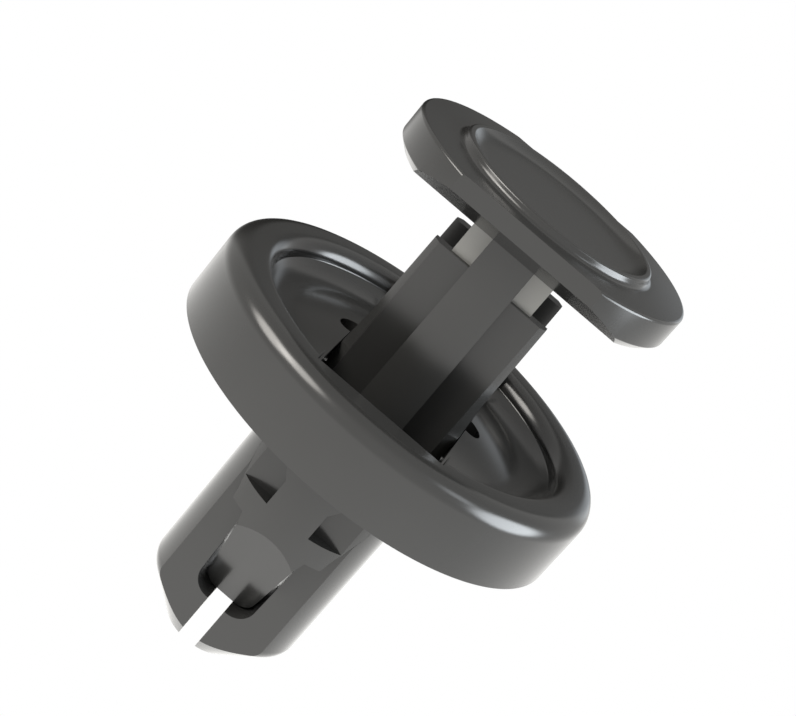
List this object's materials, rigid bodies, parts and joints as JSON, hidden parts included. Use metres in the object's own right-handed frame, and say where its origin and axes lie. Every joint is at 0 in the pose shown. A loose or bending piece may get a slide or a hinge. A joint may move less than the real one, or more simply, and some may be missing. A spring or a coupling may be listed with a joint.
{
  "type": "trim clip",
  "caption": "Round-flanged push-in clip: a grommet with a split stem that a headed plunger spreads behind a panel hole when it is pushed down.",
  "frame": {"origin": "middle of the flange's underside, on the stem's axis", "axes": "+Z along the stem towards the plunger's head, +-Y through the flat faces of the legs and of the head, X across the slot that parts the legs"},
  "size_m": [0.02, 0.02, 0.0265],
  "materials": {
    "grommet": "moulded black nylon, satin",
    "plunger": "moulded black nylon, satin"
  },
  "bodies": {
    "grommet": {"grommet": "grommet"},
    "plunger": {"plunger": "plunger"}
  },
  "joints": [
    {"name": "plunger_slide", "type": "slide", "parent": "grommet", "child": "plunger", "axis": [0, 0, 1], "range_m": [-0.008, 0], "deforming": ["grommet"]}
  ]
}
